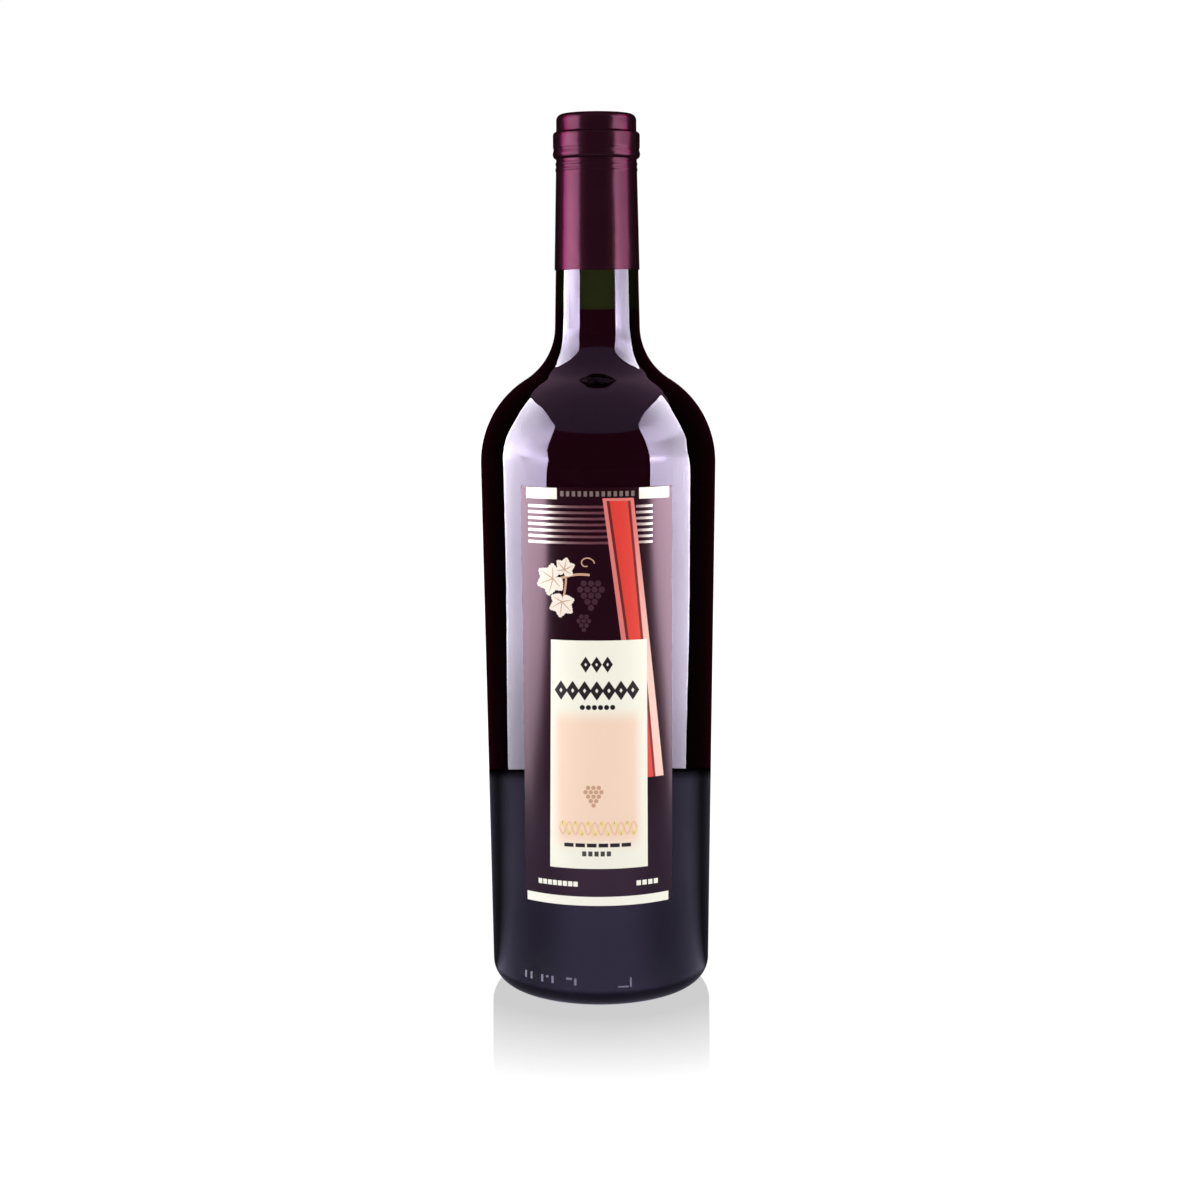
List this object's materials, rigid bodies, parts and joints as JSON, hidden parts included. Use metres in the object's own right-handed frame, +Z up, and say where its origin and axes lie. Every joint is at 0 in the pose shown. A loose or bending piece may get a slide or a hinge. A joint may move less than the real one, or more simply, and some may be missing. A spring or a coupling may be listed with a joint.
{
  "type": "wine bottle",
  "caption": "Full glass wine bottle with a tapered round body, high shoulders and a slim neck, shut under a plum capsule, with a tall dark front label.",
  "frame": {"origin": "on the floor at the centre of the foot", "axes": "+Z up along the bottle's axis, the front label faces -Y, +X to the viewer's right"},
  "size_m": [0.0806, 0.0808, 0.3],
  "materials": {
    "bottle_glass": "dark green transparent bottle glass, moulded, glossy",
    "red_wine": "dark red transparent liquid",
    "capsule_foil": "plum lacquer on thin foil, satin",
    "label_paper": "near-black varnished paper with silver foil bars, a red ribbon and a cream panel"
  },
  "bodies": {
    "root": {"glass_bottle": "bottle_glass", "wine": "red_wine", "capsule": "capsule_foil", "front_label": "label_paper"}
  },
  "joints": []
}
